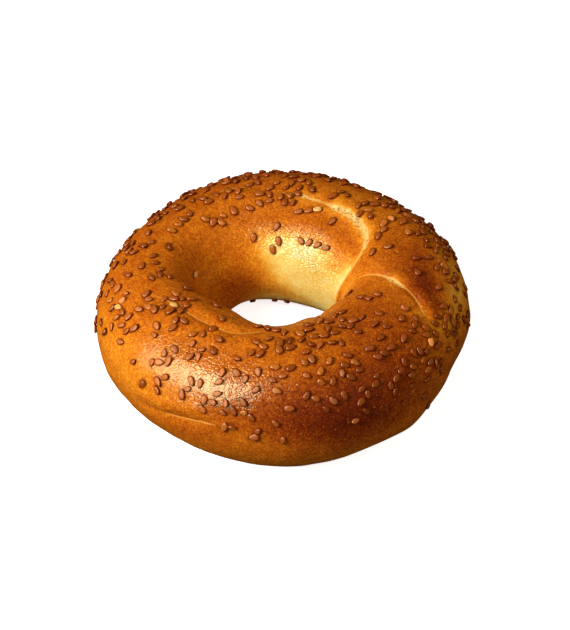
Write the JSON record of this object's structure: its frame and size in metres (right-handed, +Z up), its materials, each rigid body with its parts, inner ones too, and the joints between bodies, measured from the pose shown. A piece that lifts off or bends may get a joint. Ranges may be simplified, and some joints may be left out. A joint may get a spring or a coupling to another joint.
{
  "type": "sesame bagel",
  "caption": "Ring-shaped baked bread roll with a glossy golden-brown crust, an overlapping seam where the dough rope meets, a flat underside, and sesame seeds fused over its top and sides.",
  "frame": {"origin": "under the middle of the outline, on the flat underside that the bagel rests on", "axes": "+Z up through the hole; the overlapping seam is towards +X and +Y, at about 20 to 60 degrees round from +X"},
  "size_m": [0.1098, 0.1085, 0.0381],
  "materials": {
    "crust": "egg-washed, glossy golden-brown baked crust, fine leathery wrinkles, pale in the seams and on the wall of the hole",
    "sesame_toasted": "toasted sesame seed, reddish brown, semi-gloss",
    "sesame_golden": "lightly toasted sesame seed, golden brown, semi-gloss",
    "sesame_pale": "untoasted sesame seed, cream, semi-gloss"
  },
  "bodies": {
    "root": {"bagel": "crust"}
  },
  "joints": []
}
